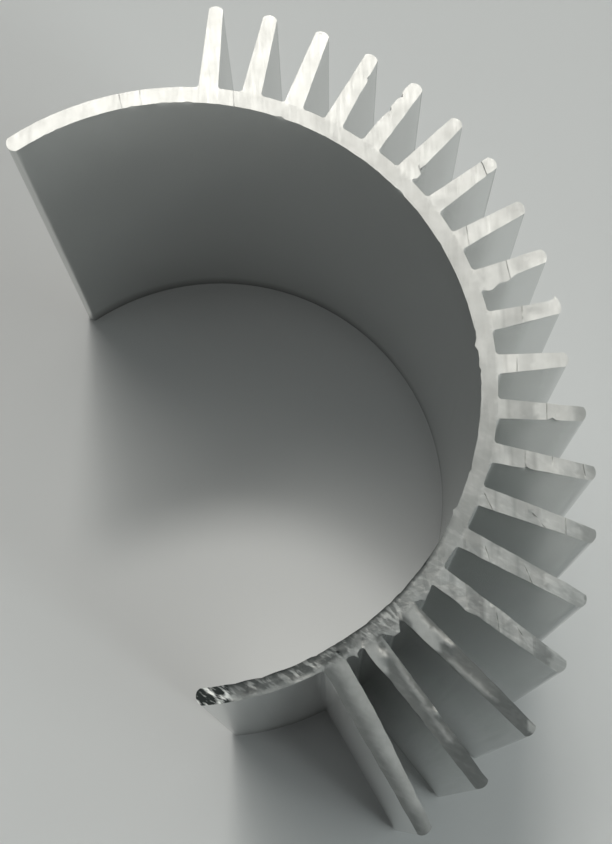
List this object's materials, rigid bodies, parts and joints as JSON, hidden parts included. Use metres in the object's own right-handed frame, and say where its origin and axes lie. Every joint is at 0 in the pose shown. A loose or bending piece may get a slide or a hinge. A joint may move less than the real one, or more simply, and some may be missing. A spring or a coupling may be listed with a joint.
{
  "type": "clip-on motor heat sink",
  "caption": "C-shaped aluminium extrusion with radial fins that clips round a motor can to cool it, sawn square at both ends, with a plain arm at each side of its mouth.",
  "frame": {"origin": "motor axis, on the plane of the lower saw cut that the part stands on", "axes": "+Z along the motor axis towards the upper saw cut, +X out through the middle fin, the mouth towards -X"},
  "size_m": [0.0307, 0.052, 0.034],
  "materials": {
    "aluminium": "mill-finish extruded sides and rough saw-cut ends"
  },
  "bodies": {
    "root": {"heat_sink": "aluminium"}
  },
  "joints": []
}
